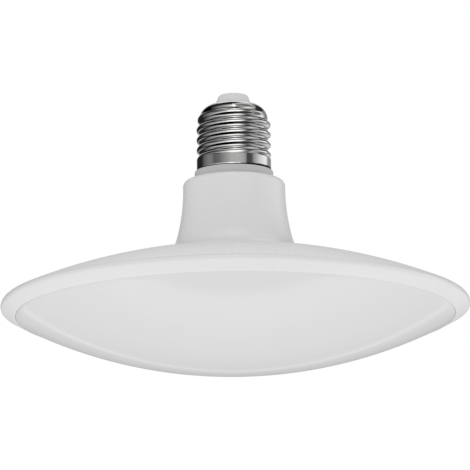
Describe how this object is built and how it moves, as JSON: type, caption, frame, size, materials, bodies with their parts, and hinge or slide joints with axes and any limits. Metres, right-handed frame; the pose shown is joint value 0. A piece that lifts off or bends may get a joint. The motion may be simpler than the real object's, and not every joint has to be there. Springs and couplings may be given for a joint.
{
  "type": "led disc lamp",
  "caption": "Flat round lamp with a domed opal diffuser under a shallow white dish, on a flared neck with a 27 mm screw cap.",
  "frame": {"origin": "on the lamp's axis, where the screw cap's shell stands on the housing's collar", "axes": "+Z along the axis, from the diffuser towards the cap's centre contact; +X and +Y lie in the plane of the collar's top, the driver board stands across X"},
  "size_m": [0.165, 0.165, 0.0983],
  "materials": {
    "white_housing": "satin white moulding",
    "nickel_shell": "nickel-plated, polished",
    "cap_insulator": "pale grey moulding",
    "contact_metal": "tinned",
    "opal_diffuser": "opal, glossy outside",
    "sink_aluminium": "pressed sheet",
    "thermal_pad": "soft silicone",
    "white_board": "white solder mask on aluminium",
    "phosphor": "yellow phosphor in a white frame",
    "screw_steel": "zinc-plated",
    "green_board": "glass-fibre board",
    "can_sleeve": "shrunk sleeve",
    "ferrite": "sintered ferrite",
    "bobbin_plastic": "moulded",
    "winding_tape": "yellow tape over enamelled wire",
    "varistor_blue": "dipped epoxy",
    "resistor_body": "lacquered",
    "choke_body": "shrunk sleeve on a ferrite drum",
    "film_box": "epoxy-dipped",
    "package_black": "moulded epoxy",
    "resistor_black": "glazed",
    "ceramic_tan": "ceramic",
    "tinned_copper": "tinned",
    "solder": "soldered",
    "pin_gold": "plated",
    "wire_red": "insulated",
    "wire_black": "insulated"
  },
  "bodies": {
    "root": {"housing": "white_housing", "screw_shell": "nickel_shell", "cap_insulator": "cap_insulator", "centre_contact": "contact_metal", "diffuser": "opal_diffuser", "heat_sink": "sink_aluminium", "thermal_pad": "thermal_pad", "led_board": "white_board", "led_chips": "phosphor", "board_screws": "screw_steel", "driver_board": "green_board", "input_capacitor": "can_sleeve", "output_capacitor": "can_sleeve", "transformer_core": "ferrite", "transformer_bobbin": "bobbin_plastic", "transformer_winding": "winding_tape", "varistor": "varistor_blue", "fuse_resistor": "resistor_body", "filter_choke": "choke_body", "film_capacitor": "film_box", "bridge_rectifier": "package_black", "driver_chip": "package_black", "diodes": "package_black", "chip_resistors": "resistor_black", "chip_capacitors": "ceramic_tan", "component_leads": "tinned_copper", "solder_joints": "solder", "pin_header": "bobbin_plastic", "output_pins": "pin_gold", "live_wire": "wire_red", "neutral_wire": "wire_black"}
  },
  "joints": []
}
